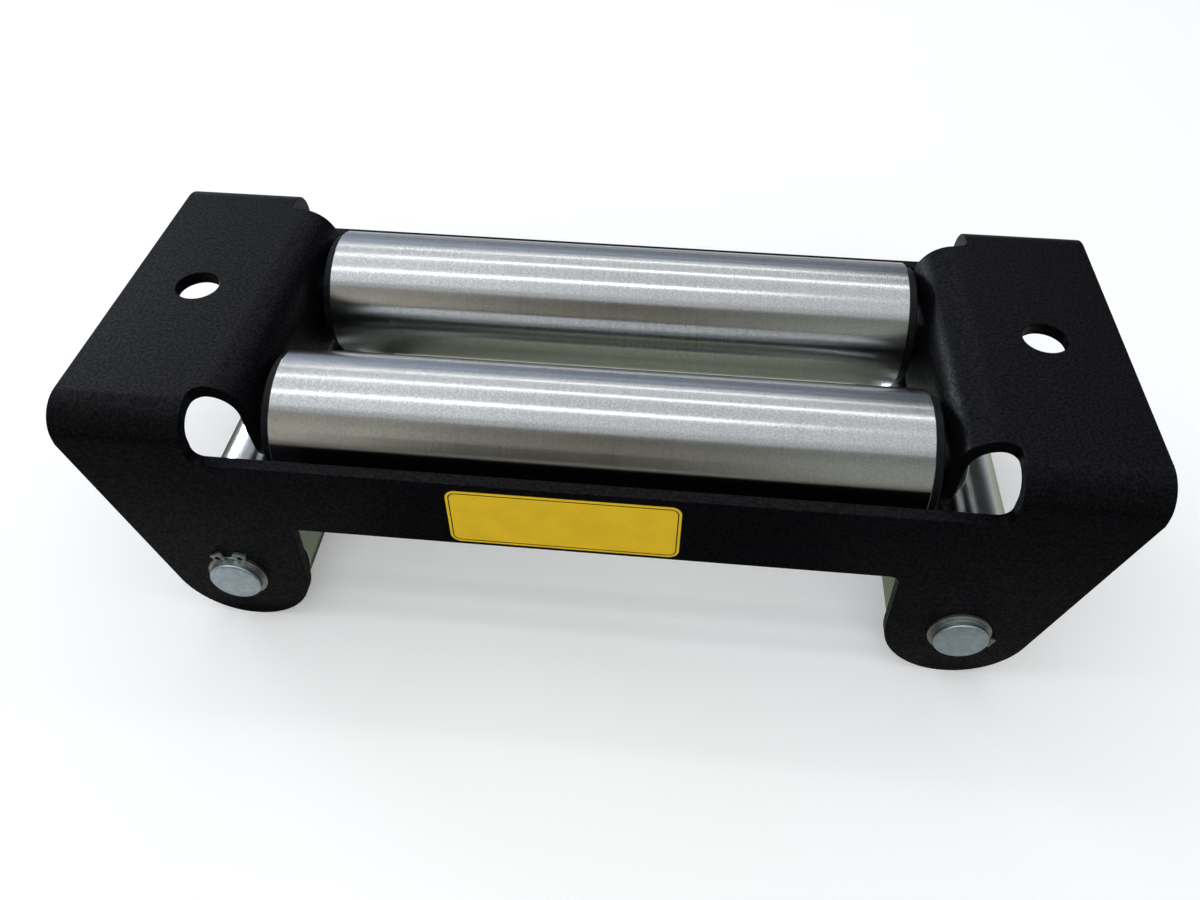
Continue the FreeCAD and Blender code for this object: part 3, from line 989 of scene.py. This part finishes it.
LIGHTS = (
    SoftLight("ceiling_left", (-0.90, 0.04, 1.10), 1.2, 1.44, 0.86, tint=SKY_TINT),
    SoftLight("ceiling_right", (0.45, 0.04, 1.10), 1.5, 1.44, 0.60, tint=SKY_TINT),
    SoftLight("ceiling_front", (0.0, -0.82, 1.10), 2.4, 0.28, 0.38),
    SoftLight("ceiling_behind", (-0.27, 1.28, 1.10), 1.85, 1.04, 0.68, tint=SKY_TINT),
    SoftLight("tubes_over", (-0.70, -0.12, 1.02), 1.9, 0.07, 3.0),
    SoftLight("tubes_middle", (0.0, 0.485, 1.02), 2.4, 0.065, 3.0),
    SoftLight("tubes_behind", (0.1, 1.03, 0.92), 2.2, 0.05, 3.6),
    SoftLight("window_left", (-1.70, 1.34, 0.14), 0.9, 0.4, 25.0,
              target=(0.0, 0.0, 0.0), tint=WINDOW_TINT),
    SoftLight("front_fill", (0.15, -1.10, 0.75), 1.0, 0.8, 2.0,
              target=(0.0, 0.0, -0.04), seen_in_gloss=False),
)

# Just above the floor's surface.
FLOOR_CARD_HEIGHT = -0.0875


def floor_card(name: str, left: float, near: float, width: float, depth: float, tone: Colour) -> Card:
    """A card that lies just above the floor.

    Args:
        name: Name of the card.
        left: X of its left edge.
        near: Y of its near edge.
        width: Size along X.
        depth: Size along Y.
        tone: Its colour.
    Returns:
        The card.
    """
    return Card(name, (left, near, FLOOR_CARD_HEIGHT), (width, 0.0, 0.0), (0.0, depth, 0.0), tone)


def grey(level: float) -> Colour:
    """A neutral colour."""
    return (level, level, level)


# What the steel mirrors: the walls, and the light and the dark parts of the floor. The cards under the
# bar, by the feet, and under and left of the object are painted shade: the object's shadow on the pale
# floor, as the steel mirrors it.
WALL_CARDS = (
    Card("front_card", (-3.0, -1.6, -0.08), side=(6.0, 0.0, 0.0), rise=(0.0, 0.15, 1.65),
         tone=(0.28, 0.245, 0.19)),
    Card("front_left_card", (-3.0, -1.55, -0.08), side=(2.35, 0.0, 0.0), rise=(0.0, 0.15, 1.65),
         tone=(0.86, 0.78, 0.64)),
    Card("front_right_card", (0.42, -1.55, -0.08), side=(2.35, 0.0, 0.0), rise=(0.0, 0.15, 1.65),
         tone=(0.66, 0.66, 0.58)),
    Card("front_low_card", (-0.72, -1.50, -0.08), side=(0.85, 0.0, 0.0), rise=(0.0, 0.04, 0.52),
         tone=(0.07, 0.060, 0.048)),
    Card("back_card", (-3.0, 1.9, 0.20), side=(6.0, 0.0, 0.0), rise=(0.0, 0.0, 0.45),
         tone=(0.32, 0.35, 0.42)),
    Card("back_high_card", (-3.0, 1.9, 0.65), side=(6.0, 0.0, 0.0), rise=(0.0, 0.0, 0.45),
         tone=(0.52, 0.56, 0.64)),
    Card("right_card", (0.66, 1.7, 0.10), side=(1.9, -1.5, 0.0), rise=(0.0, 0.0, 1.6),
         tone=grey(0.04)),
)

FLOOR_CARDS = (
    floor_card("floor_near_card", -1.0, -0.34, 2.0, 0.24, grey(0.07)),
    # Painted shadow: a dark card where the bar shades the floor, seen only in gloss.
    floor_card("floor_bar_card", -0.08, -0.10, 0.16, 0.036, grey(0.12)),
    # Painted shade: greyed cards for the shaded floor by the left and the right feet, seen only in gloss.
    floor_card("left_foot_card", -1.0, -0.10, 0.92, 0.036, grey(0.54)),
    floor_card("right_foot_card", 0.08, -0.10, 0.92, 0.036, grey(0.40)),
    floor_card("floor_far_card", -2.0, -1.6, 4.0, 1.26, (0.30, 0.275, 0.225)),
    # Painted shade: cards for the shaded floor under the rollers and to the left of the object, seen only
    # in gloss.
    floor_card("floor_under_card", -0.085, -0.0625, 0.485, 0.16, (0.54, 0.57, 0.44)),
    floor_card("floor_left_card", -0.40, -0.0625, 0.315, 0.16, (0.15, 0.16, 0.12)),
    floor_card("floor_behind_card", -0.5, 0.10, 1.0, 0.20, (0.70, 0.71, 0.73)),
    floor_card("floor_back_card", -2.0, 0.30, 4.0, 1.59, (0.38, 0.40, 0.42)),
)


@dataclass
class Studio:
    """Pale floor, plain world, soft boxes, cards and the camera."""

    floor_side: float = 14.0
    floor_tone: float = 0.86
    floor_glow: float = 0.22
    world_tone: Colour = (0.26, 0.27, 0.28)
    camera_place: Triple = (0.01993, -0.23276, 0.18480)
    camera_right: Triple = (0.99520, 0.09785, 0.00067)
    camera_up: Triple = (-0.07130, 0.72030, 0.69000)
    lens: float = 29.65
    sensor: float = 36.0
    near_clip: float = 0.01

    def build_floor(self, height: float) -> None:
        """The floor, brighter to the camera and in gloss, with the object's shadow on it.

        Args:
            height: Height of the floor's surface.
        """
        half = self.floor_side / 2
        mesh = bpy.data.meshes.new("floor")
        square = [(-half, -half), (half, -half), (half, half), (-half, half)]
        mesh.from_pydata([(x, y, height) for x, y in square], [], [(0, 1, 2, 3)])
        floor = link_object("floor", mesh)
        bench = NodeBench("floor_paper")
        bench.shader.inputs["Base Color"].default_value = (self.floor_tone,) * 3 + (1.0,)
        bench.set(Roughness=0.9, Specular_IOR_Level=0.0)
        path = bench.add("ShaderNodeLightPath")
        seen = bench.add("ShaderNodeMath", operation="MAXIMUM")
        shown = bench.add("ShaderNodeMath", operation="MAXIMUM")
        bench.join(path.outputs["Is Camera Ray"], seen.inputs[0])
        bench.join(path.outputs["Is Glossy Ray"], seen.inputs[1])
        bench.join(seen.outputs["Value"], shown.inputs[0])
        bench.join(path.outputs["Is Transmission Ray"], shown.inputs[1])
        glow = bench.add("ShaderNodeMath", operation="MULTIPLY")
        bench.join(shown.outputs["Value"], glow.inputs[0])
        glow.inputs[1].default_value = self.floor_glow
        bench.shader.inputs["Emission Color"].default_value = (1.0, 1.0, 1.0, 1.0)
        bench.feed("Emission Strength", glow.outputs["Value"])
        dress(floor, bench.material)

    def build_world(self) -> None:
        """Plain world."""
        world = bpy.data.worlds.new("studio")
        world.use_nodes = True
        background = world.node_tree.nodes["Background"]
        background.inputs["Color"].default_value = (*self.world_tone, 1.0)
        background.inputs["Strength"].default_value = 1.0
        bpy.context.scene.world = world

    def build_camera(self) -> None:
        """The camera at the photograph's place and angle."""
        data = bpy.data.cameras.new("camera")
        data.lens = self.lens
        data.sensor_width = self.sensor
        data.clip_start = self.near_clip
        camera = bpy.data.objects.new("camera", data)
        bpy.context.scene.collection.objects.link(camera)
        right, up = Vector(self.camera_right).normalized(), Vector(self.camera_up).normalized()
        up = (up - right * up.dot(right)).normalized()
        turned = Matrix((right, up, right.cross(up))).transposed().to_4x4()
        camera.matrix_world = Matrix.Translation(self.camera_place) @ turned
        bpy.context.scene.camera = camera

    def build(self) -> None:
        """Make the whole studio."""
        low, _ = CAD_BOX
        self.build_floor(low.z)
        self.build_world()
        for fixture in (*WALL_CARDS, *FLOOR_CARDS, *LIGHTS):
            fixture.build()
        self.build_camera()
        bpy.context.scene.view_settings.view_transform = "Standard"


ROLLERS = (
    ("long_roller_near", Axis.X, ("left", "right")),
    ("long_roller_far", Axis.X, ("left", "right")),
    ("short_roller_left", Axis.Y, ("near", "far")),
    ("short_roller_right", Axis.Y, ("near", "far")),
)


def report(made: bpy.types.Object) -> None:
    """Log a piece and its number of faces."""
    log.info("%s, %d faces", made.name, len(made.data.polygons))


def main() -> None:
    """Build every piece in order, then the studio round them."""
    coat = PowderCoat().material()
    steels = {axis: TurnedSteel(axis).material() for axis in Axis}
    pin_zinc = PIN_ZINC.material()
    ring_zinc = RING_ZINC.material()
    plastic = MouldedPlastic().material()
    yellow = LABEL_YELLOW.material()
    black = LABEL_BLACK.material()
    copies = CopyTree().build()
    report(FoldedFrame(coat).build())
    for name, axis, ends in ROLLERS:
        roller = Roller(name, axis, ends, steels[axis], pin_zinc, plastic, copies)
        report(roller.build_tube())
        report(roller.build_bushes())
        report(roller.build_pin())
        for ring in roller.build_rings(ring_zinc):
            report(ring)
    report(Label(yellow, black).build())
    Studio().build()


if __name__ == "__main__":
    main()
